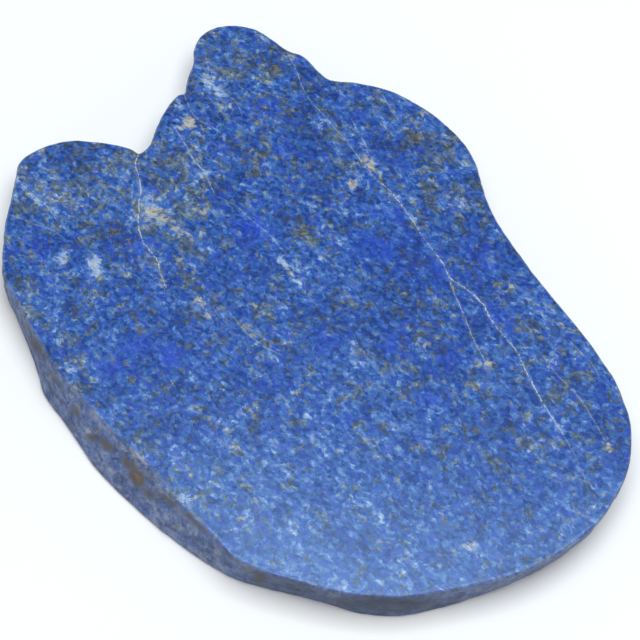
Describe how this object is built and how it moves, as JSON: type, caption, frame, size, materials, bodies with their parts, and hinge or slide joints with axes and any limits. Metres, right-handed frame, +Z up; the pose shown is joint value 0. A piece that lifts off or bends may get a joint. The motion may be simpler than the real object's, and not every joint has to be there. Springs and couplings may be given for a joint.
{
  "type": "lapis lazuli slab",
  "caption": "Flat slab of blue lapis lazuli with a lobed natural outline, polished on top, lying on its sawn underside.",
  "frame": {"origin": "middle of the bounding box, on the sawn underside the slab rests on", "axes": "+Z up, out of the polished face; +Y from the front edge towards the tall lobe at the back; +X to the right"},
  "size_m": [0.0902, 0.0928, 0.0055],
  "materials": {
    "lapis_stone": "granular ultramarine stone with pale calcite and brown pyrite grains and thin cream veins; polished upper face, dull weathered edge, fine-sawn underside"
  },
  "bodies": {
    "root": {"lapis_slab": "lapis_stone"}
  },
  "joints": []
}
